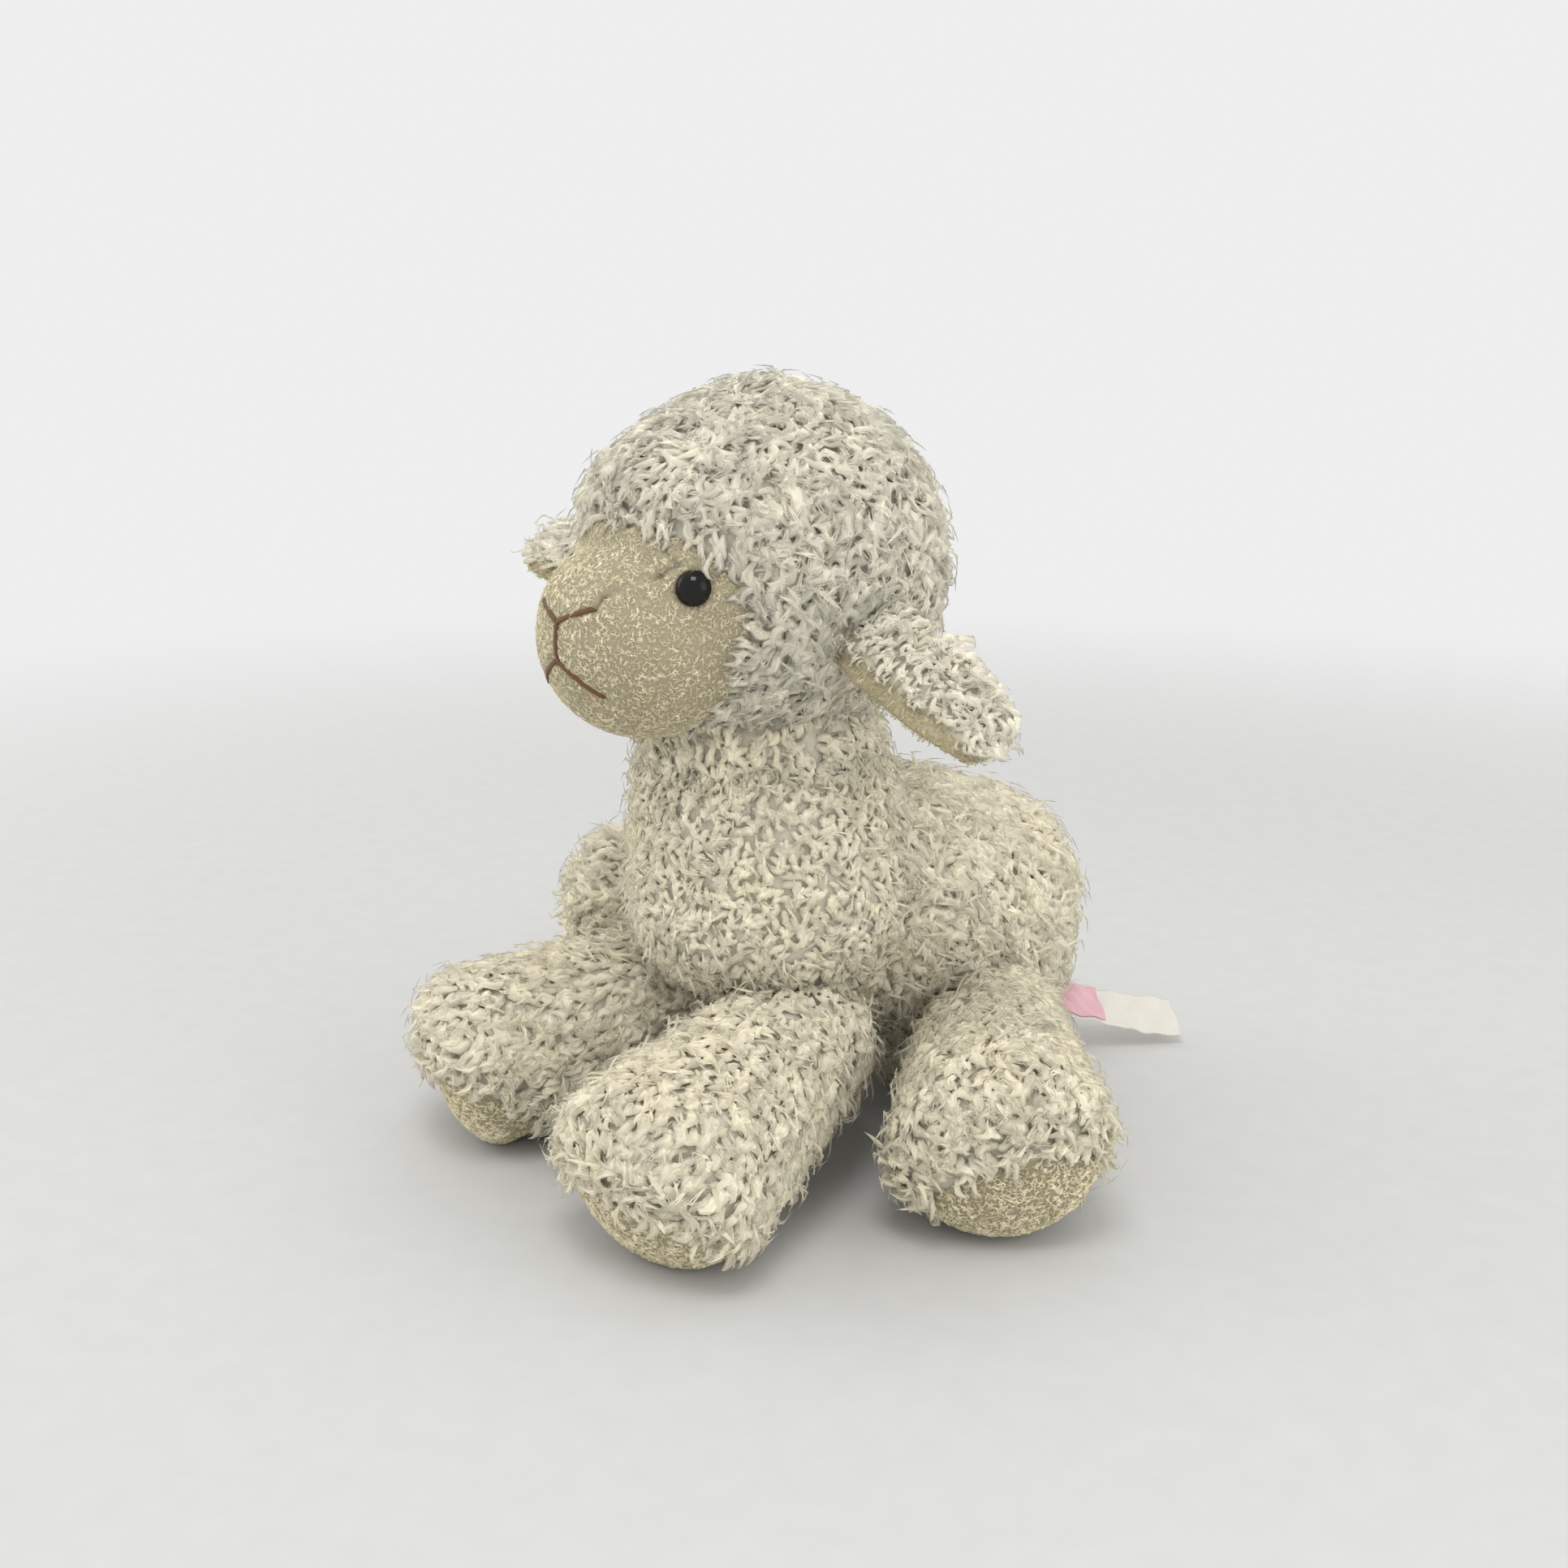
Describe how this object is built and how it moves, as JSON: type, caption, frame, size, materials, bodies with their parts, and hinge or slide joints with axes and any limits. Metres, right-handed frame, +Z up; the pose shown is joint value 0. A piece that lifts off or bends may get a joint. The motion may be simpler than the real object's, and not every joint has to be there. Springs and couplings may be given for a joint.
{
  "type": "plush sheep",
  "caption": "Soft stuffed sheep that sits with its legs splayed, with a curly wool coat, short-pile face and soles, drooping ears and button eyes.",
  "frame": {"origin": "middle of the flat underside of the seat, on the surface that the sheep sits on", "axes": "+Z up, the sheep looks along -Y, and its left side is +X"},
  "size_m": [0.2593, 0.2874, 0.251],
  "materials": {
    "wool": "curly long pile, cream",
    "suede": "short looped pile, tan",
    "stuffing": "loose polyester fibre",
    "pellets": "bag of plastic pellets",
    "eye": "glossy black",
    "washer": "moulded",
    "thread": "brown embroidery thread",
    "satin": "satin ribbon, bare",
    "pink": "woven ribbon, bare"
  },
  "bodies": {
    "torso": {"body_wool": "wool", "body_stuffing": "stuffing", "pellet_bag": "pellets"},
    "neck": {"neck_wool": "wool", "neck_stuffing": "stuffing"},
    "head": {"head_wool": "wool", "head_stuffing": "stuffing", "face_bridge_panel": "suede", "left_cheek_panel": "suede", "right_cheek_panel": "suede", "left_eye": "eye", "right_eye": "eye", "left_eye_washer": "washer", "right_eye_washer": "washer", "nose_stitching": "thread", "mouth_stitching": "thread"},
    "left_ear": {"left_ear_wool": "wool", "left_ear_lining": "suede"},
    "right_ear": {"right_ear_wool": "wool", "right_ear_lining": "suede"},
    "front_left_leg": {"front_left_leg_wool": "wool", "front_left_leg_sole": "suede", "front_left_leg_stuffing": "stuffing"},
    "front_right_leg": {"front_right_leg_wool": "wool", "front_right_leg_sole": "suede", "front_right_leg_stuffing": "stuffing"},
    "hind_left_leg": {"hind_left_leg_wool": "wool", "hind_left_leg_sole": "suede", "hind_left_leg_stuffing": "stuffing"},
    "hind_right_leg": {"hind_right_leg_wool": "wool", "hind_right_leg_sole": "suede", "hind_right_leg_stuffing": "stuffing"},
    "tail": {"tail_wool": "wool"},
    "labels": {"care_label": "satin", "top_label": "pink"}
  },
  "joints": [
    {"name": "neck_turn", "type": "hinge", "parent": "torso", "child": "neck", "pos_m": [0, -0.083, 0.135], "axis": [0, 0, 1], "range_deg": [-35, 35]},
    {"name": "head_nod", "type": "hinge", "parent": "neck", "child": "head", "pos_m": [0, -0.083, 0.135], "axis": [1, 0, 0], "range_deg": [-12, 15]},
    {"name": "left_ear_flap", "type": "hinge", "parent": "head", "child": "left_ear", "pos_m": [0.05, -0.087, 0.18], "axis": [0.2534, 0.7071, 0.6601], "range_deg": [-20, 20]},
    {"name": "right_ear_flap", "type": "hinge", "parent": "head", "child": "right_ear", "pos_m": [-0.05, -0.087, 0.18], "axis": [0.0051, -0.7275, -0.6861], "range_deg": [-20, 20]},
    {"name": "front_left_leg_lift", "type": "hinge", "parent": "torso", "child": "front_left_leg", "pos_m": [0.03, -0.091, 0.04491], "axis": [-0.9613, -0.2756, 0], "range_deg": [0, 25]},
    {"name": "front_right_leg_lift", "type": "hinge", "parent": "torso", "child": "front_right_leg", "pos_m": [-0.03, -0.091, 0.04491], "axis": [-0.9272, 0.3746, 0], "range_deg": [0, 25]},
    {"name": "hind_left_leg_splay", "type": "hinge", "parent": "torso", "child": "hind_left_leg", "pos_m": [0.042, -0.016, 0.03468], "axis": [0, 0, 1], "range_deg": [-3, 20]},
    {"name": "hind_right_leg_splay", "type": "hinge", "parent": "torso", "child": "hind_right_leg", "pos_m": [-0.042, -0.021, 0.03468], "axis": [0, 0, -1], "range_deg": [-3, 20]},
    {"name": "tail_wag", "type": "hinge", "parent": "torso", "child": "tail", "pos_m": [0, 0.036, 0.061], "axis": [1, 0, 0], "range_deg": [-15, 15]},
    {"name": "label_bend", "type": "hinge", "parent": "torso", "child": "labels", "pos_m": [0.00338, 0.03632, 0.02558], "axis": [0.7752, -0.4822, -0.4082], "range_deg": [0, 35]}
  ]
}
